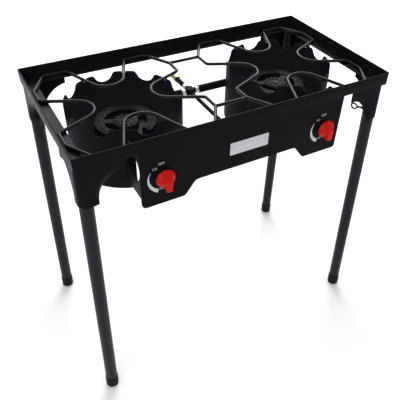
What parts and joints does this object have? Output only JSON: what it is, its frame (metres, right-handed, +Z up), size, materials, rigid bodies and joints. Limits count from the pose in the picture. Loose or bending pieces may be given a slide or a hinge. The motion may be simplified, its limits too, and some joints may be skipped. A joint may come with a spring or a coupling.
{
  "type": "propane burner stand",
  "caption": "Free-standing propane cooker: angle-steel frame on splayed tube legs, wire grates over scalloped wind guards, cast burners and a front control panel.",
  "frame": {"origin": "On the floor, under the centre of the rectangular frame.", "axes": "+X runs to the right along the long side, +Y to the rear, where the gas enters, and +Z up. The control panel and its knobs face -Y."},
  "size_m": [0.849, 0.4665, 0.789],
  "materials": {
    "powder_coat": "satin black powder coat on sheet, angle and tube",
    "wire_coat": "satin black powder coat on round wire",
    "cast_iron": "rough as-cast iron, blackened",
    "zinc_plate": "bright zinc plate",
    "brass": "machined brass",
    "knob_red": "glossy moulded plastic",
    "foot_rubber": "dull moulded cap",
    "plate_metal": "satin metal, blank",
    "clip_steel": "dark oiled spring wire"
  },
  "bodies": {
    "stand": {"arm_nut_left": "zinc_plate", "arm_nut_right": "zinc_plate", "control_panel": "powder_coat", "cross_arm_left": "powder_coat", "cross_arm_right": "powder_coat", "feed_tube": "powder_coat", "foot_front_left": "foot_rubber", "foot_front_right": "foot_rubber", "foot_rear_left": "foot_rubber", "foot_rear_right": "foot_rubber", "front_link_wire": "wire_coat", "front_rail": "powder_coat", "gas_cross": "powder_coat", "hose_inlet": "brass", "inlet_nut": "zinc_plate", "inlet_pipe": "powder_coat", "left_burner": "cast_iron", "left_burner_strap": "powder_coat", "left_burner_stud": "zinc_plate", "left_grate": "wire_coat", "left_rail": "powder_coat", "left_stud_nut": "zinc_plate", "left_valve": "brass", "left_wind_guard": "powder_coat", "leg_bracket_front_left": "powder_coat", "leg_bracket_front_right": "powder_coat", "leg_bracket_rear_left": "powder_coat", "leg_bracket_rear_right": "powder_coat", "leg_front_left": "powder_coat", "leg_front_right": "powder_coat", "leg_rear_left": "powder_coat", "leg_rear_right": "powder_coat", "manifold_cap_left": "zinc_plate", "manifold_cap_right": "zinc_plate", "manifold_pipe": "powder_coat", "name_plate": "plate_metal", "panel_screw_left": "zinc_plate", "panel_screw_right": "zinc_plate", "plate_rivet_left": "zinc_plate", "plate_rivet_right": "zinc_plate", "rear_link_wire": "wire_coat", "rear_rail": "powder_coat", "right_burner": "cast_iron", "right_burner_strap": "powder_coat", "right_burner_stud": "zinc_plate", "right_grate": "wire_coat", "right_rail": "powder_coat", "right_stud_nut": "zinc_plate", "right_valve": "brass", "right_wind_guard": "powder_coat"},
    "left_control": {"left_knob": "knob_red", "left_valve_stem": "zinc_plate"},
    "right_control": {"right_knob": "knob_red", "right_valve_stem": "zinc_plate"},
    "left_shutter": {"left_air_shutter": "powder_coat"},
    "right_shutter": {"right_air_shutter": "powder_coat"},
    "clip_front_left": {"leg_clip_front_left": "clip_steel"},
    "clip_front_right": {"leg_clip_front_right": "clip_steel"},
    "clip_rear_left": {"leg_clip_rear_left": "clip_steel"},
    "clip_rear_right": {"leg_clip_rear_right": "clip_steel"}
  },
  "joints": [
    {"name": "left_knob_turn", "type": "hinge", "parent": "stand", "child": "left_control", "pos_m": [-0.218, -0.2097, 0.685], "axis": [0, -1, 0], "range_deg": [0, 175]},
    {"name": "left_shutter_turn", "type": "hinge", "parent": "stand", "child": "left_shutter", "pos_m": [-0.218, -0.16, 0.685], "axis": [0, -1, 0], "range_deg": [0, 60]},
    {"name": "right_knob_turn", "type": "hinge", "parent": "stand", "child": "right_control", "pos_m": [0.218, -0.2097, 0.685], "axis": [0, -1, 0], "range_deg": [0, 175]},
    {"name": "right_shutter_turn", "type": "hinge", "parent": "stand", "child": "right_shutter", "pos_m": [0.218, -0.16, 0.685], "axis": [0, -1, 0], "range_deg": [0, 60]},
    {"name": "clip_front_left_pull", "type": "slide", "parent": "stand", "child": "clip_front_left", "axis": [0, 1, 0], "range_m": [0, 0.06]},
    {"name": "clip_front_right_pull", "type": "slide", "parent": "stand", "child": "clip_front_right", "axis": [0, 1, 0], "range_m": [0, 0.06]},
    {"name": "clip_rear_left_pull", "type": "slide", "parent": "stand", "child": "clip_rear_left", "axis": [0, -1, 0], "range_m": [0, 0.06]},
    {"name": "clip_rear_right_pull", "type": "slide", "parent": "stand", "child": "clip_rear_right", "axis": [0, -1, 0], "range_m": [0, 0.06]}
  ]
}
